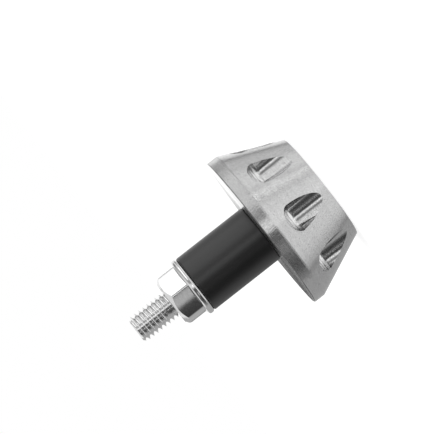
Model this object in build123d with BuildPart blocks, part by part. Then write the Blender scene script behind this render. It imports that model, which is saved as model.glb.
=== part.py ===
# Bar end weight for a motorbike handlebar: a turned aluminium cup with eight round grip
# pockets, a countersunk socket screw through its floor, a rubber bush and a flange nut.
# It stands on the mouth of the cup. The origin is the centre of the mouth, and +Z runs along
# the axis towards the thread. Millimetres.
from build123d import *

import os
from math import acos, cos, degrees, radians, tan

# End weight: the outside of the turned body
mouth_dia = 23.2
rim_dia = 34.4
rim_thickness = 2.4
body_length = 15.0
edge_break = 0.15

# End weight: the cup that holds the screw's head
lip_width = 1.2
cup_depth = 7.2
cup_taper = 11.0  # degrees, each side, narrower towards the floor
cup_corner = 0.9

# End weight: the grip pockets, sunk parallel to the axis by a round-nosed cutter, half in the cone
pocket_count = 8
pocket_dia = 6.0
pocket_circle_dia = 30.8
pocket_depth = 10.5  # from the mouth to the middle of the domed end
pocket_end_radius = 3.6
pocket_corner = 1.45  # the radius between the dome and the wall

# Clamp screw, a countersunk head with a hexagon socket, M6 x 40
thread_dia = 6.0
screw_length = 40.0  # with the head
head_dia = 11.8
head_angle = 90.0
head_land = 0.3  # the short cylinder at the head's edge
head_stand = 1.2  # how far the head stands proud of the cup's floor
socket_flats = 4.0
socket_depth = 2.5
socket_point_angle = 120.0
socket_bevel = 0.25
tip_bevel = 0.7

# Rubber bush, which the nut squeezes against the weight so that it swells in the bar
bush_dia = 12.5
bush_length = 16.3
bush_edge = 0.3

# Flange nut, M6
nut_height = 6.0
nut_flats = 10.0
nut_face_dia = 9.2
nut_face_angle = 40.0
nut_turn = 46.4  # degrees, where the first corner of the hexagon points
flange_dia = 12.8
flange_edge = 1.25  # the flange's thickness at its rounded edge
flange_slope = 12.0  # degrees
flange_round = 0.58
nut_entry_angle = 120.0
nut_entry_width = 0.35

# Clearances round the screw, on the radius
body_clearance = 0.2
bush_clearance = 0.3

# Radii and heights that follow from the sizes above
thread_r = thread_dia / 2
mouth_r = mouth_dia / 2
rim_r = rim_dia / 2
rim_start = body_length - rim_thickness
lip_r = mouth_r - lip_width
wall_foot_z = cup_depth - cup_corner
wall_foot_r = lip_r - wall_foot_z * tan(radians(cup_taper))
floor_r = wall_foot_r - cup_corner

head_r = head_dia / 2
head_top = cup_depth - head_stand
head_cone_top = head_top + head_land
seat_r = head_r - (head_stand - head_land) * tan(radians(head_angle / 2))
screw_tip = head_top + screw_length

bush_start = body_length
nut_start = bush_start + bush_length
nut_end = nut_start + nut_height


def point_height(radius, angle):
    """The height of a cone of that radius and full angle."""
    return radius / tan(radians(angle / 2))


# The cutter that sinks one grip pocket, standing at the origin with its rounded end up
with BuildPart() as cutter:
    with BuildSketch(Plane.XZ) as cutter_section:
        with BuildLine():
            dome_start = degrees(acos(pocket_dia / 2 / pocket_end_radius))
            dome = CenterArc(
                center=(0, pocket_depth - pocket_end_radius),
                radius=pocket_end_radius,
                start_angle=dome_start,
                arc_size=90 - dome_start,
            )
            Polyline(dome @ 1, (0, 0), (pocket_dia / 2, 0), dome @ 0)
        make_face()
        fillet(cutter_section.vertices().sort_by_distance(dome @ 0)[0], pocket_corner)
    revolve(axis=Axis.Z)

# End weight
with BuildPart() as end_weight:
    # Turned blank: lip, cone and rim outside, tapered cup inside
    with BuildSketch(Plane.XZ):
        with BuildLine():
            Polyline(
                (0, cup_depth),
                (floor_r, cup_depth),
                (wall_foot_r, wall_foot_z),
                (lip_r, 0),
                (mouth_r, 0),
                (rim_r, rim_start),
                (rim_r, body_length),
                (0, body_length),
                close=True,
            )
        make_face()
    revolve(axis=Axis.Z)

    # The sharp turned edges are broken: the lip, both edges of the rim, and the cup's mouth
    turned_edges = end_weight.edges().filter_by(GeomType.CIRCLE)
    rim_edges = turned_edges.group_by(SortBy.RADIUS)[-1]
    lip_edges = turned_edges.group_by(Axis.Z)[0]
    chamfer(rim_edges + lip_edges, edge_break)

    # Seat and clearance hole for the screw, sunk from the cup's floor
    with Locations(Plane(origin=(0, 0, cup_depth), z_dir=(0, 0, -1))):
        CounterSinkHole(
            radius=thread_r + body_clearance,
            counter_sink_radius=seat_r,
            depth=body_length - cup_depth,
            counter_sink_angle=head_angle,
        )

    # Grip pockets
    with PolarLocations(pocket_circle_dia / 2, pocket_count):
        add(cutter.part, mode=Mode.SUBTRACT)

# Clamp screw
with BuildPart() as clamp_screw:
    with BuildSketch(Plane.XZ):
        with BuildLine():
            Polyline(
                (0, head_top),
                (head_r, head_top),
                (head_r, head_cone_top),
                (thread_r, head_cone_top + point_height(head_r - thread_r, head_angle)),
                (thread_r, screw_tip - tip_bevel),
                (thread_r - tip_bevel, screw_tip),
                (0, screw_tip),
                close=True,
            )
        make_face()
    revolve(axis=Axis.Z)

    # Hexagon socket with a drilled bottom and a bevelled entry
    with BuildSketch(Plane.XY.offset(head_top)):
        RegularPolygon(socket_flats / 2, 6, major_radius=False)
    extrude(amount=socket_depth, mode=Mode.SUBTRACT)
    with BuildSketch(Plane.XZ):
        with BuildLine():
            socket_corner_r = socket_flats / 2 / cos(radians(30))
            Polyline(
                (0, head_top),
                (socket_corner_r + socket_bevel, head_top),
                (0, head_top + socket_corner_r + socket_bevel),
                close=True,
            )
        make_face()
        with BuildLine():
            Polyline(
                (0, head_top + socket_depth),
                (socket_flats / 2, head_top + socket_depth),
                (0, head_top + socket_depth + point_height(socket_flats / 2, socket_point_angle)),
                close=True,
            )
        make_face()
    revolve(axis=Axis.Z, mode=Mode.SUBTRACT)

# Rubber bush
with BuildPart() as rubber_bush:
    with BuildSketch(Plane.XY.offset(bush_start)):
        Circle(bush_dia / 2)
        Circle(thread_r + bush_clearance, mode=Mode.SUBTRACT)
    extrude(amount=bush_length)
    outer_edges = rubber_bush.edges().filter_by(GeomType.CIRCLE).group_by(SortBy.RADIUS)[-1]
    fillet(outer_edges, bush_edge)

# Flange nut
with BuildPart() as flange_nut:
    # Hexagon, with its front corners turned off by a cone
    with BuildSketch(Plane.XY.offset(nut_start)):
        RegularPolygon(nut_flats / 2, 6, major_radius=False, rotation=nut_turn)
    extrude(amount=nut_height)
    corner_r = nut_flats / 2 / cos(radians(30))
    face_r = nut_face_dia / 2
    face_drop = (corner_r - face_r) * tan(radians(nut_face_angle))
    with BuildSketch(Plane.XZ):
        with BuildLine():
            Polyline(
                (0, nut_start),
                (corner_r, nut_start),
                (corner_r, nut_end - face_drop),
                (face_r, nut_end),
                (0, nut_end),
                close=True,
            )
        make_face()
    revolve(axis=Axis.Z, mode=Mode.INTERSECT)

    # Flange: a rounded edge and a shallow cone up to the hexagon
    flange_r = flange_dia / 2
    flange_top = flange_edge + flange_r * tan(radians(flange_slope))
    with BuildSketch(Plane.XZ) as flange_section:
        with BuildLine():
            Polyline(
                (0, nut_start),
                (flange_r, nut_start),
                (flange_r, nut_start + flange_edge),
                (0, nut_start + flange_top),
                close=True,
            )
        make_face()
        fillet(flange_section.vertices().group_by(Axis.X)[-1], flange_round)
    revolve(axis=Axis.Z)

    # Threaded hole with a countersunk entry at each end
    nut_front = Plane.XY.offset(nut_end)
    nut_back = Plane(origin=(0, 0, nut_start), z_dir=(0, 0, -1))
    with Locations(nut_front, nut_back):
        CounterSinkHole(
            radius=thread_r,
            counter_sink_radius=thread_r + nut_entry_width,
            depth=nut_height,
            counter_sink_angle=nut_entry_angle,
        )

os.makedirs("parts", exist_ok=True)
end_weight.part.label = "end_weight"
clamp_screw.part.label = "clamp_screw"
rubber_bush.part.label = "rubber_bush"
flange_nut.part.label = "flange_nut"
export_step(end_weight.part, "parts/end_weight.step")
export_step(clamp_screw.part, "parts/clamp_screw.step")
export_step(rubber_bush.part, "parts/rubber_bush.step")
export_step(flange_nut.part, "parts/flange_nut.step")
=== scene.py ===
# %% [markdown]
# # A bar end weight for a motorbike, in a small white studio
# The real thing is four pieces on one axis: a turned aluminium weight with eight grip pockets
# sunk by a round-nosed cutter, a countersunk screw through its floor, a black rubber bush and a
# flange nut. Their places and sizes come from a CAD model, which is loaded here as a fixed
# frame. This script gives the pieces their finish, makes the fine forms that the frame leaves
# plain, and puts a floor, light and a camera round them.

# %% Load the frame
from math import cos, degrees, pi, radians, sin
from types import SimpleNamespace

import bmesh
import bpy
from mathutils import Matrix, Vector


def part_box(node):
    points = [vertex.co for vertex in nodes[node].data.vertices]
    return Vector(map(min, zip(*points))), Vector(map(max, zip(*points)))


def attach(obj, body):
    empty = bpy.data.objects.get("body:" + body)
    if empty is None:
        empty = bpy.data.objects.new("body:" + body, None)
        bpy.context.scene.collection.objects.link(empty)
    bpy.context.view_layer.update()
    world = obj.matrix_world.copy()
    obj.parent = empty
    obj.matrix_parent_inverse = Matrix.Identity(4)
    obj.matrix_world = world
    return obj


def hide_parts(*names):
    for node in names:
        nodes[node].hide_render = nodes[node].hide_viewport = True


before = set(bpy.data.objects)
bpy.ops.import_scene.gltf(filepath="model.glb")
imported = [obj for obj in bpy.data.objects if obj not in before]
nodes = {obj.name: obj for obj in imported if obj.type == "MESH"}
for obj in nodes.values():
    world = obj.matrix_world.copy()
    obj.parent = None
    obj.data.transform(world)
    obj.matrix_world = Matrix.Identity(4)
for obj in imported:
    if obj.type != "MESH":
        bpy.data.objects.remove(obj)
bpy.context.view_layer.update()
MM = 0.001
scene = bpy.context.scene
scene.view_settings.view_transform = "Standard"
print("pieces in the frame:", sorted(nodes))

# %% [markdown]
# ## Sizes that the finishes need
# A finish such as a ring of tool marks has to sit on its own surface, so it needs to know where
# that surface is. Most of these sizes can be read off the boxes of the frame's pieces, and they
# are read here. The few that can't, such as the pocket's diameter, stand beside the finish that
# needs them.

# %% Measure the pieces
weight_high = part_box("end_weight")[1]
RIM_R = weight_high.x
BACK_Z = weight_high.z
NUT_BACK_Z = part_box("flange_nut")[0].z
TIP_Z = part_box("clamp_screw")[1].z
print("rim radius", round(RIM_R / MM, 2), "mm, back face at", round(BACK_Z / MM, 2), "mm")
print("nut from", round(NUT_BACK_Z / MM, 2), "mm, screw up to", round(TIP_Z / MM, 2), "mm")

# %% [markdown]
# ## Writing node trees as sums
# A material or a world in Blender is a graph of nodes. Sums made of Math nodes are slow to read,
# so a small class wraps a number socket and lets Python's own operators add the Math nodes. Any
# other node comes from one method, which sets the node's own settings first and then its
# sockets.

# %% Numbers that add their own nodes
class Number:
    """A number socket in a graph. Arithmetic on it adds Math nodes."""

    def __init__(self, graph, socket):
        self.graph = graph
        self.socket = socket

    def __add__(self, other):
        return self.graph.math("ADD", self, other)

    def __radd__(self, other):
        return self.graph.math("ADD", other, self)

    def __sub__(self, other):
        return self.graph.math("SUBTRACT", self, other)

    def __rsub__(self, other):
        return self.graph.math("SUBTRACT", other, self)

    def __mul__(self, other):
        return self.graph.math("MULTIPLY", self, other)

    def __rmul__(self, other):
        return self.graph.math("MULTIPLY", other, self)

    def __truediv__(self, other):
        return self.graph.math("DIVIDE", self, other)

    def __rtruediv__(self, other):
        return self.graph.math("DIVIDE", other, self)

    def __lt__(self, other):
        return self.graph.math("LESS_THAN", self, other)

    def __gt__(self, other):
        return self.graph.math("GREATER_THAN", self, other)


print("numbers take + - * / < >")

# %% The graph that they belong to
class Graph:
    """One node tree: a material's, the world's or a Geometry Nodes group's."""

    def __init__(self, tree):
        self.tree = tree
        tree.nodes.clear()

    def node(self, kind, settings=None, **sockets):
        """Adds a node. Sockets are named with _ for a space, or i0, i1 by their place."""
        made = self.tree.nodes.new(kind)
        for name, value in (settings or {}).items():
            setattr(made, name, value)
        for name, value in sockets.items():
            by_place = name[0] == "i" and name[1:].isdigit()
            socket = made.inputs[int(name[1:]) if by_place else name.replace("_", " ")]
            value = value.socket if isinstance(value, Number) else value
            if isinstance(value, bpy.types.NodeSocket):
                self.tree.links.new(value, socket)
            else:
                socket.default_value = value
        return made

    def number(self, kind, output, settings=None, **sockets):
        """Adds a node and returns one of its outputs as a Number."""
        return Number(self, self.node(kind, settings, **sockets).outputs[output])

    def parts(self, vector):
        """The x, y and z of a vector, as Numbers."""
        split = self.node("ShaderNodeSeparateXYZ", Vector=vector)
        return [Number(self, output) for output in split.outputs]

    def math(self, operation, *values):
        sockets = {f"i{place}": value for place, value in enumerate(values)}
        return self.number("ShaderNodeMath", 0, {"operation": operation}, **sockets)

    def smooth(self, value, start, end):
        """0 before start, 1 after end, and a smooth step between them."""
        return self.number(
            "ShaderNodeMapRange", 0, {"interpolation_type": "SMOOTHSTEP"},
            Value=value, From_Min=start, From_Max=end,
        )


def between(first, second, share):
    """The first value where the share is 0, and the second where it is 1."""
    return first + (second - first) * share


def grey(level):
    return (level, level, level, 1.0)


print("graph helpers ready")

# %% [markdown]
# ## The camera
# The picture is taken with a long lens from about 0.7 m, a little above the mouth's plane, and
# it is turned so that the thread points to the lower left. A camera is placed by its position
# and by three directions: forward, right and up. The lens follows from how many pixels a
# millimetre takes at the object's distance, so that no shift of the picture is needed.

# %% Place the camera
PICTURE_PX = 434
PX_PER_MM = 5.1056
CAMERA_AZIMUTH = 6.6
CAMERA_DISTANCE = 700 * MM
CAMERA_HEIGHT = 44.98 * MM
CAMERA_ROLL = -128.08
AIM_SIDE = 7.788 * MM
AIM_HEIGHT = 19.770 * MM
SENSOR_MM = 36.0
SEEN_FROM = 0.05
SEEN_TO = 20.0


def round_the_axis(angle, radius, height):
    """A point by its angle in degrees from the camera's side, towards the picture's lower right."""
    turn = radians(270 + CAMERA_AZIMUTH - angle)
    return Vector((radius * cos(turn), radius * sin(turn), height))


def make_camera():
    data = bpy.data.cameras.new("camera")
    data.sensor_width = SENSOR_MM
    data.lens = SENSOR_MM * PX_PER_MM * (CAMERA_DISTANCE / MM) / PICTURE_PX
    data.clip_start = SEEN_FROM
    data.clip_end = SEEN_TO
    camera = bpy.data.objects.new("camera", data)
    scene.collection.objects.link(camera)
    place = round_the_axis(0, CAMERA_DISTANCE, CAMERA_HEIGHT)
    aim = round_the_axis(-90, AIM_SIDE, AIM_HEIGHT)
    forward = (aim - place).normalized()
    level_right = forward.cross(Vector((0, 0, 1))).normalized()
    level_up = level_right.cross(forward)
    roll = radians(CAMERA_ROLL)
    right = level_right * cos(roll) + level_up * sin(roll)
    up = level_up * cos(roll) - level_right * sin(roll)
    turned = Matrix((right, up, -forward)).transposed()
    camera.matrix_world = Matrix.Translation(place) @ turned.to_4x4()
    return camera


scene.camera = make_camera()
print("lens", round(scene.camera.data.lens, 1), "mm")

# %% [markdown]
# ## Light
# Bright metal has hardly any colour of its own: it shows what stands round it. So the studio is
# painted on the world as a ring of panels, each with an angle round the object, a width and a
# brightness, as soft boxes and dark flags would stand on a real set. The camera itself sees
# plain white there.

# %% The panels of the studio
WALL_LEVEL = 0.62
TABLE_LEVEL = 0.80
TABLE_END, WALL_START = -30, -8
PANELS = (
    # name, then in degrees its angle, half width, soft edge, lowest, highest and the edge of
    # those two, and last its brightness
    ("ceiling", 0, 200, 10, 50, 110, 20, 0.80),
    ("upper side", -68, 48, 20, -26, 50, 10, 0.46),
    ("far upper side", -128, 16, 10, -12, 50, 8, 0.54),
    ("far low side", -126, 16, 10, -60, -12, 8, 0.76),
    ("low shade", -51.5, 16.5, 1.5, -62, -26, 10, 0.72),
    ("thin light", -52, 0.7, 0.6, -60, -26, 10, 4.50),
    ("window", -64, 34, 22, -6, 3, 5, 1.66),
    ("far window", -156, 16, 10, -14, 4, 4, 0.78),
    ("far low light", -170, 14, 8, -30, -7, 4, 1.10),
    ("left flag", -125, 12, 6, -16, 40, 8, 0.26),
    ("far strip", -128, 30, 14, -1.6, 3.5, 1.5, 1.15),
    ("thin flag", -140, 4, 3, -60, -2, 8, 0.22),
    ("slit", -19, 8, 8, -26, 30, 8, 0.30),
    ("strip", -4.5, 5, 3, -26, 30, 8, 0.78),
    ("bright line", -2.5, 1.3, 1.2, -6, 4, 3, 2.70),
    ("dark side", 44, 38, 6, -30, 56, 8, 0.09),
    ("dim side", 90, 10, 6, -26, 40, 8, 0.22),
    ("pale band", 45, 8, 4, -28, 40, 8, 0.18),
    ("pale screen", 33, 8, 4, -1.8, 4, 1.5, 0.74),
    ("dark screen", 52.5, 12.5, 4, -6, 4, 3, 0.04),
    ("lower side", 131.5, 39.5, 5, -58, 40, 8, 0.43),
    ("low flag", 94.5, 2.2, 2, -58, -20, 8, 0.20),
    ("back window", 180, 9, 4, -4, 16, 5, 1.15),
    ("back shade", 179.25, 1.05, 1.0, -4, 20, 5, 0.10),
)
print(len(PANELS), "panels, the brightest at", max(panel[-1] for panel in PANELS))

# %% Paint the studio on the world
STRAIGHT_UP = 1e-6
NEARLY_ONE = 0.99999


def band(graph, value, low, high, edge):
    """1 between low and high, and 0 outside them, with edges of that width."""
    above = graph.smooth(value, low - edge / 2, low + edge / 2)
    return above * (1 - graph.smooth(value, high - edge / 2, high + edge / 2))


def paint_studio():
    world = bpy.data.worlds.new("studio")
    world.use_nodes = True
    scene.world = world
    graph = Graph(world.node_tree)
    x, y, z = graph.parts(graph.node("ShaderNodeTexCoord").outputs["Generated"])
    height = graph.math("ARCSINE", z) * degrees(1)
    across = graph.math("SQRT", x * x + y * y) + STRAIGHT_UP
    path = graph.node("ShaderNodeLightPath")
    camera = Number(graph, path.outputs["Is Camera Ray"])
    gloss = Number(graph, path.outputs["Is Glossy Ray"])
    room = between(TABLE_LEVEL, WALL_LEVEL, graph.smooth(height, TABLE_END, WALL_START))
    level = between(room, 1, gloss)
    for name, angle, half, soft, low, high, edge, brightness in PANELS:
        way = round_the_axis(angle, 1, 0)
        away = graph.math("ARCCOSINE", (x * way.x + y * way.y) / across * NEARLY_ONE) * degrees(1)
        wide = 1 - graph.smooth(away, half - soft / 2, half + soft / 2)
        level = between(level, brightness, wide * band(graph, height, low, high, edge))
    shown = between(level, 1, camera)
    light = graph.node("ShaderNodeBackground", Color=shown, Strength=1.0)
    graph.node("ShaderNodeOutputWorld", Surface=light.outputs[0])
    return graph


print("studio painted with", len(paint_studio().tree.nodes), "nodes")

# %% [markdown]
# One soft lamp hangs above the table, as the ceiling light of the set. It keeps the shadow under
# the weight and lights the upper faces.

# %% Hang the lamp
LAMP_HEIGHT = 0.6
LAMP_ANGLE = -50
LAMP_ASIDE = 0.15
LAMP_SIZE = 0.8
LAMP_WATTS = 1.3


def hang_lamp():
    data = bpy.data.lights.new("ceiling_lamp", "AREA")
    data.shape = "DISK"
    data.size = LAMP_SIZE
    data.energy = LAMP_WATTS
    lamp = bpy.data.objects.new("ceiling_lamp", data)
    scene.collection.objects.link(lamp)
    lamp.location = round_the_axis(LAMP_ANGLE, LAMP_ASIDE, LAMP_HEIGHT)
    lamp.visible_camera = False
    lamp.visible_glossy = False
    return lamp


print("lamp hung at", [round(v, 2) for v in hang_lamp().location], "m")

# %% [markdown]
# ## The floor
# The floor is a wide plain disc. The camera sees it as white with the object's shadow on it: a
# part of the white is given off by the floor, and the rest is light that falls on it, so the
# shadow stays pale. From below it is clear, so that the cup can be looked into.

# %% The floor's material
FLOOR_GLOW = 0.74
FLOOR_COLOUR = 0.62


def new_material(name):
    made = bpy.data.materials.new(name)
    made.use_nodes = True
    return made, Graph(made.node_tree)


def dress(piece, material):
    piece.data.materials.clear()
    piece.data.materials.append(material)


def white_table():
    made, graph = new_material("white_table")
    path = graph.node("ShaderNodeLightPath")
    lit = graph.node("ShaderNodeBsdfDiffuse", Color=grey(FLOOR_COLOUR))
    glow = graph.node("ShaderNodeEmission", Color=grey(1.0), Strength=FLOOR_GLOW)
    seen = graph.node("ShaderNodeAddShader", i0=lit.outputs[0], i1=glow.outputs[0])
    plain = graph.node("ShaderNodeBsdfDiffuse", Color=grey(TABLE_LEVEL))
    clear = graph.node("ShaderNodeBsdfTransparent")
    camera = Number(graph, path.outputs["Is Camera Ray"])
    gloss = Number(graph, path.outputs["Is Glossy Ray"])
    below = graph.number("ShaderNodeNewGeometry", "Backfacing")
    top = graph.node("ShaderNodeMixShader", i0=camera, i1=plain.outputs[0], i2=seen.outputs[0])
    open_to = graph.math("MAXIMUM", gloss, below)
    out = graph.node("ShaderNodeMixShader", i0=open_to, i1=top.outputs[0], i2=clear.outputs[0])
    graph.node("ShaderNodeOutputMaterial", Surface=out.outputs[0])
    return made


print("floor material ready")

# %% Lay the floor
FLOOR_R = 4.0
FLOOR_CORNERS = 96


def new_piece(name, shape):
    """Puts a bmesh into the scene as an object, and frees it."""
    mesh = bpy.data.meshes.new(name)
    shape.to_mesh(mesh)
    shape.free()
    piece = bpy.data.objects.new(name, mesh)
    scene.collection.objects.link(piece)
    return piece


disc = bmesh.new()
bmesh.ops.create_circle(disc, cap_ends=True, segments=FLOOR_CORNERS, radius=FLOOR_R)
floor = new_piece("floor", disc)
dress(floor, white_table())
print("floor normal", tuple(floor.data.polygons[0].normal))

# %% [markdown]
# ## Turned aluminium
# A lathe leaves fine rings on every face that it cuts. They spread a reflection across
# themselves, so light and dark bands run along the cone from its mouth to its rim. The
# Principled shader has this as its Anisotropic value, and its tangent runs round Z by itself.
# The rings themselves are a bump whose height depends only on how far along the profile a point
# lies, with a little unevenness round the axis.
#
# In a grip pocket another tool has been at work. The cutter trembles as it sinks, which leaves
# chatter along the wall, and its nose leaves rings in the rounded end. These marks could be cut
# into the mesh, but they are a few hundredths of a millimetre deep, so a bump is enough. A mask
# that is 1 on the pockets' surface and 0 elsewhere changes from one kind of marks to the other.
# The same mask paints the pockets a little darker, as painted shade, and their rounded ends
# paler, as painted light, with painted shade across the nose's rings and at the ends' sides.

# %% Coordinates and noise that the finishes share
def object_mm(graph):
    """The point on the piece, in millimetres, as x, y and z."""
    spot = graph.node("ShaderNodeTexCoord").outputs["Object"]
    return [part * (1 / MM) for part in graph.parts(spot)]


def noise(graph, x, y, z, scale=1.0, detail=2.0):
    """Smooth random numbers from 0 to 1 at a point."""
    where = graph.node("ShaderNodeCombineXYZ", i0=x, i1=y, i2=z).outputs[0]
    return graph.number("ShaderNodeTexNoise", 0, Vector=where, Scale=scale, Detail=detail)


def nearest_turn(graph, x, y, count, start=0.0):
    """The angle from the nearest of some evenly spaced directions round the axis, in radians."""
    step = 2 * pi / count
    turn = graph.math("ARCTAN2", y, x) - radians(start)
    return turn - graph.math("ROUND", turn * (1 / step)) * step


def end_finish(graph, height=None, mark_size=1.0 * MM, mark_strength=1.0, **looks):
    """A material's last nodes: the marks as a bump, the shader with its looks, the output."""
    if height is not None:
        bump = graph.node(
            "ShaderNodeBump", Height=height, Strength=mark_strength, Distance=mark_size)
        looks["Normal"] = bump.outputs[0]
    surface = graph.node("ShaderNodeBsdfPrincipled", **looks)
    graph.node("ShaderNodeOutputMaterial", Surface=surface.outputs[0])


print("finish helpers ready")

# %% Where a point lies on the weight
POCKET_COUNT = 8
POCKET_R = 3.0 * MM
POCKET_CIRCLE_R = 15.4 * MM
POCKET_WALL_Z = 8.39 * MM
POCKET_END_Z = 10.6 * MM
MOUTH_R = 11.6 * MM
CONE_SLOPE = 5.6 / 12.6
# The rest are in millimetres, as the shader's point is
ON_AXIS = 1e-4
SKIN = 0.02
CONE_SKIN = 0.03
END_RING_PITCH = 0.62


def weight_spot(graph):
    """The point's place on the turned faces and in its nearest pocket, with masks of 0 or 1."""
    x, y, z = object_mm(graph)
    radius = graph.math("SQRT", x * x + y * y) + ON_AXIS
    turn = nearest_turn(graph, x, y, POCKET_COUNT)
    side = radius * graph.math("SINE", turn)
    out = radius * graph.math("COSINE", turn) - POCKET_CIRCLE_R / MM
    from_axis = graph.math("SQRT", side * side + out * out)
    bored = (from_axis < POCKET_R / MM + SKIN) * (z < POCKET_END_Z / MM)
    under_cone = radius < z * CONE_SLOPE + (MOUTH_R / MM - CONE_SKIN)
    return SimpleNamespace(
        x=x, y=y, z=z, radius=radius, along=radius + z, side=side, out=out,
        in_pocket=bored * under_cone,
        at_end=z > POCKET_WALL_Z / MM,
        on_back=z > BACK_Z / MM - SKIN,
        on_rim=radius > RIM_R / MM - SKIN,
        end_rings=graph.math("SINE", from_axis * (2 * pi / END_RING_PITCH)),
    )


print(POCKET_COUNT, "pockets of", 2 * POCKET_R / MM, "mm")

# %% The cutter's marks in a pocket
# Pitches are in millimetres, grains in spots per millimetre, heights in MARK_SIZE
MARK_SIZE = 0.004 * MM
CHATTER_PITCH = 0.47
CHATTER_HEIGHT = 2.0
WALL_GRAIN_ACROSS = 1.2
WALL_GRAIN_ALONG = 2.5
WALL_GRAIN_HEIGHT = 7
END_RING_HEIGHT = 5
END_GRAIN = 1.5
END_GRAIN_HEIGHT = 12


def pocket_marks(graph, spot):
    """Chatter along the straight wall, and the rings of the cutter's nose in the end."""
    chatter = graph.math("SINE", spot.z * (2 * pi / CHATTER_PITCH))
    wall_grain = noise(
        graph, spot.side * WALL_GRAIN_ACROSS, spot.out * WALL_GRAIN_ACROSS,
        spot.z * WALL_GRAIN_ALONG,
    )
    end_grain = noise(graph, spot.side, spot.out, spot.z, scale=END_GRAIN)
    on_wall = chatter * CHATTER_HEIGHT + wall_grain * WALL_GRAIN_HEIGHT
    on_end = spot.end_rings * END_RING_HEIGHT + end_grain * END_GRAIN_HEIGHT
    return between(on_wall, on_end, spot.at_end)


highest = (END_RING_HEIGHT + END_GRAIN_HEIGHT) * MARK_SIZE / MM
print("highest marks, in the pockets' ends:", round(highest, 3), "mm")

# %% The lathe's marks on the other faces
RING_PITCH = 0.16
RING_WAVER = 1.2
RING_HEIGHT = 0.6
BACK_POLISH = 0.9
STREAKS_ROUND = 3
STREAKS_ALONG = 0.7
STREAK_HEIGHT = 12


def ring_noise(graph, spot, waver, per_mm, detail):
    """Rings along the profile, which waver a little round the axis."""
    round_x = spot.x / spot.radius * waver
    round_y = spot.y / spot.radius * waver
    return noise(graph, round_x, round_y, spot.along * per_mm, detail=detail)


def weight_marks(graph, spot):
    """The height of all marks, counted in MARK_SIZE."""
    rings = ring_noise(graph, spot, RING_WAVER, 1 / RING_PITCH, 1.0) * RING_HEIGHT
    streaks = noise(
        graph, spot.x * STREAKS_ROUND, spot.y * STREAKS_ROUND, spot.z * STREAKS_ALONG, detail=3.0)
    turned = between(rings, streaks * STREAK_HEIGHT, spot.on_rim)
    turned = turned * (1 - spot.on_back * BACK_POLISH)
    return between(turned, pocket_marks(graph, spot), spot.in_pocket)


print("rings about", RING_PITCH, "mm apart, streaks up to", STREAK_HEIGHT * MARK_SIZE / MM, "mm")

# %% The metal's tone, with painted light and shade
# Tones go from 0 to 1, lengths are in millimetres
TONE = 0.66
GRAIN = 5.0
GRAIN_TONE = 0.50
WIDE_RING_WAVER = 0.8
WIDE_RINGS_PER_MM = 1.1
WIDE_RING_TONE = 0.05
SPECKS = 4.0
SPECK_START, SPECK_FULL = 0.62, 0.72
SPECK_TONE = 0.20
# Painted shade: a dark line along the back edge of the rim
EDGE_SHADE_WIDTH = 0.17
EDGE_SHADE_TONE = 0.7
# Painted shade: the pockets a little darker than the turned faces
POCKET_SHADE = 0.04
# Painted light and shade in the pockets' ends: paler all over, darker across the nose's rings and
# at the sides
END_PAINTED_LIGHT = 0.20
END_RING_START, END_RING_FULL = 0.2, 1.0
END_RING_SHADE = 0.24
END_SIDE_START, END_SIDE_FULL = 1.5, 2.5
END_SIDE_SHADE = 0.40


def weight_tone_with_painted_light_and_shade(graph, spot, grain):
    """The metal's tone: grain and specks, with painted shade along the back edge and in the
    pockets, and painted light and shade in the pockets' ends.
    """
    wide_rings = ring_noise(graph, spot, WIDE_RING_WAVER, WIDE_RINGS_PER_MM, 0.0)
    spots = noise(graph, spot.x, spot.y, spot.z, scale=SPECKS, detail=1.0)
    specks = graph.smooth(spots, SPECK_START, SPECK_FULL)
    # Painted shade along the back edge
    edge_shade = spot.along > (RIM_R + BACK_Z) / MM - EDGE_SHADE_WIDTH
    tone = TONE + (grain - 0.5) * GRAIN_TONE + (wide_rings - 0.5) * WIDE_RING_TONE
    tone = (tone - specks * SPECK_TONE) * (1 - edge_shade * EDGE_SHADE_TONE)
    # The pockets' ends get painted light, with painted shade on the rings' tops and at the sides,
    # and the whole pocket gets painted shade
    shaded_end_side = graph.smooth(graph.math("ABSOLUTE", spot.side), END_SIDE_START, END_SIDE_FULL)
    shaded_ring_tops = graph.smooth(spot.end_rings, END_RING_START, END_RING_FULL)
    end_light_and_shade = END_PAINTED_LIGHT - shaded_ring_tops * END_RING_SHADE - shaded_end_side * END_SIDE_SHADE
    return tone + spot.in_pocket * (spot.at_end * end_light_and_shade - POCKET_SHADE)


print("tone", TONE, "give or take", GRAIN_TONE / 2, "by the grain")

# %% Dress the weight
ROUGHNESS = 0.235
GRAIN_ROUGHNESS = 0.06
POCKET_GLOSS = 0.095
BACK_GLOSS = 0.12
RINGED_LOOK = 1.0
RINGED_TURN = 0.25  # a quarter turn, which spreads highlights across the rings
MARK_STRENGTH = 0.6


def turned_aluminium():
    made, graph = new_material("turned_aluminium")
    spot = weight_spot(graph)
    grain = noise(graph, spot.x, spot.y, spot.z, scale=GRAIN, detail=3.0)
    roughness = ROUGHNESS + (grain - 0.5) * GRAIN_ROUGHNESS
    end_finish(
        graph, weight_marks(graph, spot), MARK_SIZE, MARK_STRENGTH,
        Base_Color=weight_tone_with_painted_light_and_shade(graph, spot, grain),
        Metallic=1.0,
        Roughness=roughness - spot.in_pocket * POCKET_GLOSS - spot.on_back * BACK_GLOSS,
        Anisotropic=RINGED_LOOK,
        Anisotropic_Rotation=RINGED_TURN,
    )
    return made


dress(nodes["end_weight"], turned_aluminium())
print("weight dressed:", len(nodes["end_weight"].active_material.node_tree.nodes), "nodes")

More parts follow.
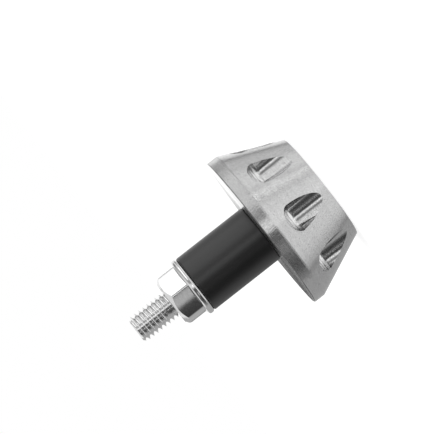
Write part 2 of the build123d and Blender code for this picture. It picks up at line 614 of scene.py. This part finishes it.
# %% [markdown]
# ## Bright zinc on the nut and the screw
# Both are steel with a thin bright coat of zinc. A coat follows the steel and has no marks of
# its own, so the finish is a plain metal whose tone and roughness drift a little over the
# surface. The flats of a pressed nut aren't quite flat: each is a little crowned, and it falls
# away at its long edges, which bends the reflections in it. A finer mesh could show that, but
# the nut's outline would hardly change, so a bump that follows the distance across the flat is
# enough. A mask keeps it off the flange and the front face.

# %% Zinc on the screw
ZINC_DRIFT = 0.06
SCREW_TONE, SCREW_ROUGHNESS, SCREW_GRAIN = 0.88, 0.12, 2.5


def zinc(grain, tone, roughness):
    """The looks of a zinc coat, which drift with the grain."""
    drift = (grain - 0.5) * ZINC_DRIFT
    return {"Base_Color": tone + drift, "Metallic": 1.0, "Roughness": roughness + drift}


def screw_zinc():
    made, graph = new_material("screw_zinc")
    grain = noise(graph, *object_mm(graph), scale=SCREW_GRAIN, detail=3.0)
    end_finish(graph, **zinc(grain, SCREW_TONE, SCREW_ROUGHNESS))
    return made


print("the screw's zinc waits for its thread")

# %% Zinc and crowned flats on the nut
NUT_TONE, NUT_ROUGHNESS, NUT_GRAIN = 0.82, 0.16, 1.2
NUT_GRAIN_HEIGHT = 0.004
NUT_FLATS = 6
NUT_FLAT_ANGLE = 16.4  # degrees, where the middle of one flat is
# Lengths are in millimetres, and both falls are per square millimetre
NUT_FLAT_HALF = 2.887
NUT_FLANGE_HEIGHT = 1.1
NUT_CROWN = 0.026
NUT_EDGE = 0.35
NUT_EDGE_FALL = 0.7
UPRIGHT = 0.1  # a flat's normal points up or down by less than this


def nut_zinc():
    made, graph = new_material("nut_zinc")
    x, y, z = object_mm(graph)
    turn = nearest_turn(graph, x, y, NUT_FLATS, NUT_FLAT_ANGLE)
    across = graph.math("SQRT", x * x + y * y) * graph.math("SINE", turn)
    normal = graph.parts(graph.node("ShaderNodeNewGeometry").outputs["True Normal"])
    upright = graph.math("ABSOLUTE", normal[2]) < UPRIGHT
    on_flat = upright * (z > NUT_BACK_Z / MM + NUT_FLANGE_HEIGHT)
    past_edge = graph.math("ABSOLUTE", across) - (NUT_FLAT_HALF - NUT_EDGE)
    edge = graph.math("MAXIMUM", past_edge, 0.0)
    fall = across * across * NUT_CROWN + edge * edge * NUT_EDGE_FALL
    grain = noise(graph, x, y, z, scale=NUT_GRAIN, detail=3.0)
    end_finish(
        graph, grain * NUT_GRAIN_HEIGHT - fall * on_flat,
        **zinc(grain, NUT_TONE, NUT_ROUGHNESS))
    return made


dress(nodes["flange_nut"], nut_zinc())
print("nut dressed, with", NUT_FLATS, "crowned flats")

# %% [markdown]
# ## Black rubber
# The bush is a moulded tube of black rubber. Rubber gives back almost none of the light that
# enters it, so what is seen of it is the light that its skin throws back, in broad soft bands.
# Its colour is nearly black, and its roughness sets how broad the bands are. A little sheen
# lifts its edges, and a fine bump stands for the grain that the mould leaves.

# %% The finish of the bush
RUBBER_GRAIN = 6.0
RUBBER_TONE, RUBBER_GRAIN_TONE = 0.002, 0.005
RUBBER_ROUGHNESS, RUBBER_GRAIN_ROUGHNESS = 0.32, 0.08
RUBBER_SHEEN, RUBBER_SHEEN_ROUGHNESS = 0.04, 0.35
RUBBER_GLOSS = 1.0
RUBBER_MARK_STRENGTH = 0.5


def bush_rubber():
    made, graph = new_material("bush_rubber")
    grain = noise(graph, *object_mm(graph), scale=RUBBER_GRAIN, detail=3.0)
    end_finish(
        graph, grain, MARK_SIZE, RUBBER_MARK_STRENGTH,
        Base_Color=RUBBER_TONE + grain * RUBBER_GRAIN_TONE,
        Roughness=RUBBER_ROUGHNESS + grain * RUBBER_GRAIN_ROUGHNESS,
        Specular_IOR_Level=RUBBER_GLOSS,
        Sheen_Weight=RUBBER_SHEEN,
        Sheen_Roughness=RUBBER_SHEEN_ROUGHNESS,
    )
    return made


dress(nodes["rubber_bush"], bush_rubber())
print("bush dressed in", nodes["rubber_bush"].active_material.name)

# %% [markdown]
# ## The screw's thread
# The frame's screw is smooth, because a thread's fine turns are of no use to a simulation. On
# the real one the thread is what the eye sees first. It follows a rule: the distance from the
# axis depends only on the height, less the share of a turn times the pitch. So Geometry Nodes
# takes a flat grid, wraps it round the axis, and slants its rows so that they run along the
# thread. Crests and roots then lie along rows of the grid and stay even all the way up. The
# crest is rounded and the root has a narrow flat, so each turn shows a soft light line and a
# dark one. Rows beyond an end are pressed onto it, and the outermost ones shrink to the axis
# and close it. The lower part of the screw, with its head, is a copy of the frame's, and the
# two are joined into one solid.

# %% Helpers for Geometry Nodes
def rule_group(name, inputs):
    """A Geometry Nodes group with named inputs: its graph, and the inputs' sockets by name."""
    tree = bpy.data.node_groups.new(name, "GeometryNodeTree")
    tree.interface.new_socket("Geometry", in_out="INPUT", socket_type="NodeSocketGeometry")
    for label, kind in inputs.items():
        tree.interface.new_socket(label, in_out="INPUT", socket_type="NodeSocket" + kind)
    tree.interface.new_socket("Geometry", in_out="OUTPUT", socket_type="NodeSocketGeometry")
    graph = Graph(tree)
    given = graph.node("NodeGroupInput")
    return graph, {label: given.outputs[label] for label in ("Geometry", *inputs)}


def end_rule(graph, geometry, material):
    """The group's last nodes: real geometry, its material, and the way out."""
    real = graph.node("GeometryNodeRealizeInstances", Geometry=geometry)
    dressed = graph.node("GeometryNodeSetMaterial", Geometry=real.outputs[0], Material=material)
    graph.node("NodeGroupOutput", Geometry=dressed.outputs[0])


def run_rule(piece, graph, **values):
    """Runs a group on a piece once, and keeps the plain mesh that comes out."""
    modifier = piece.modifiers.new("rule", "NODES")
    modifier.node_group = graph.tree
    for item in graph.tree.interface.items_tree:
        label = item.name.replace(" ", "_")
        if item.in_out == "INPUT" and label in values:
            modifier[item.identifier] = values[label]
    ready = piece.evaluated_get(bpy.context.evaluated_depsgraph_get())
    mesh = bpy.data.meshes.new_from_object(ready)
    piece.modifiers.remove(modifier)
    piece.data = mesh


print("Geometry Nodes helpers ready")

# %% The thread's profile
def thread_radius(graph, size, z, around):
    """The distance from the axis: a rounded crest, straight flanks and a flat root."""
    place = (z - size["Crest Height"]) / size["Pitch"] - around
    off_crest = graph.math("ABSOLUTE", place - graph.math("ROUND", place)) * 2
    round_part = graph.math("MINIMUM", off_crest, size["Crest Round"])
    fall = off_crest - round_part + round_part * round_part / (size["Crest Round"] * 2)
    fall = fall / (1 - size["Root Flat"] - size["Crest Round"] / 2)
    fall = graph.math("MINIMUM", fall, 1.0)
    radius = size["Crest Radius"] - size["Depth"] * fall
    bevel = size["Crest Radius"] - size["Tip Bevel"] + size["High"] - z
    return graph.math("MINIMUM", radius, bevel)


print("profile of the thread ready")

# %% The rule of the thread
SPARE_TURNS = 2
OUTER_ROW = 1e-4
SAME_POINT = 1e-6


def thread_rule():
    sizes = (
        "Pitch", "Crest Radius", "Depth", "Crest Round", "Root Flat", "Low", "High",
        "Crest Height", "Tip Bevel",
    )
    kinds = {name: "Float" for name in sizes}
    kinds.update({"Columns": "Int", "Rows": "Int", "Material": "Material"})
    graph, given = rule_group("thread", kinds)
    size = {name: Number(graph, given[name]) for name in kinds if name != "Material"}
    pitch, low, high, crest_z = (size[name] for name in ("Pitch", "Low", "High", "Crest Height"))

    first = graph.math("FLOOR", (low - crest_z) / pitch) - SPARE_TURNS
    turns = graph.math("CEIL", (high - low) / pitch) + 2 * SPARE_TURNS
    grid = graph.node(
        "GeometryNodeMeshGrid", Size_X=1.0, Size_Y=1.0,
        Vertices_X=size["Columns"] + 1, Vertices_Y=turns * size["Rows"] + 1,
    )
    spot = graph.parts(graph.node("GeometryNodeInputPosition").outputs[0])
    around, up = spot[0] + 0.5, spot[1] + 0.5
    free = crest_z + pitch * (first + up * turns + around)
    z = graph.math("MINIMUM", graph.math("MAXIMUM", free, low), high)
    inner = (up > OUTER_ROW) * (up < 1 - OUTER_ROW)
    radius = thread_radius(graph, size, z, around) * inner
    angle = around * (2 * pi)
    wrapped = graph.node(
        "ShaderNodeCombineXYZ",
        X=radius * graph.math("COSINE", angle), Y=radius * graph.math("SINE", angle), Z=z,
    )
    bent = graph.node(
        "GeometryNodeSetPosition", Geometry=grid.outputs[0], Position=wrapped.outputs[0])
    whole = graph.node(
        "GeometryNodeMergeByDistance", Geometry=bent.outputs[0], Distance=SAME_POINT)
    joined = graph.node("GeometryNodeMeshBoolean", {"operation": "UNION", "solver": "EXACT"})
    graph.tree.links.new(whole.outputs[0], joined.inputs["Mesh 2"])
    graph.tree.links.new(given["Geometry"], joined.inputs["Mesh 2"])
    end_rule(graph, joined.outputs[0], given["Material"])
    return graph


rule = thread_rule()
print("thread rule with", len(rule.tree.nodes), "nodes")

# %% Take the lower part of the screw
THREAD_PITCH = 1.0 * MM
THREAD_LENGTH = 24.0 * MM


def lower_screw():
    """A merged copy of the frame's screw, cut off square below the thread and closed."""
    shape = bmesh.new()
    shape.from_mesh(nodes["clamp_screw"].data)
    bmesh.ops.remove_doubles(shape, verts=shape.verts, dist=SAME_POINT)
    cut = (0, 0, TIP_Z - THREAD_LENGTH + THREAD_PITCH)
    every = shape.verts[:] + shape.edges[:] + shape.faces[:]
    bmesh.ops.bisect_plane(shape, geom=every, plane_co=cut, plane_no=(0, 0, 1), clear_outer=True)
    bmesh.ops.holes_fill(shape, edges=[edge for edge in shape.edges if edge.is_boundary])
    bmesh.ops.recalc_face_normals(shape, faces=shape.faces)
    return new_piece("threaded_screw", shape)


screw = lower_screw()
print("lower part of the screw:", len(screw.data.polygons), "faces")

# %% Join the thread to it
THREAD_CREST_R = 2.98 * MM
THREAD_DEPTH = 0.697 * MM
THREAD_TIP_BEVEL = 0.65 * MM
THREAD_CREST_Z = 0.23 * MM
CREST_ROUND = 0.15  # these two are shares of half a pitch
ROOT_FLAT = 0.12
THREAD_COLUMNS = 72
THREAD_ROWS = 24
CREASE_DEGREES = 25

run_rule(
    screw, rule,
    Pitch=THREAD_PITCH, Crest_Radius=THREAD_CREST_R, Depth=THREAD_DEPTH,
    Crest_Round=CREST_ROUND, Root_Flat=ROOT_FLAT,
    Low=TIP_Z - THREAD_LENGTH, High=TIP_Z, Crest_Height=THREAD_CREST_Z,
    Tip_Bevel=THREAD_TIP_BEVEL, Columns=THREAD_COLUMNS, Rows=THREAD_ROWS,
    Material=screw_zinc(),
)
screw.data.shade_smooth()
screw.data.set_sharp_from_angle(angle=radians(CREASE_DEGREES))
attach(screw, "root")
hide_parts("clamp_screw")
print("screw with thread:", len(screw.data.polygons), "faces")
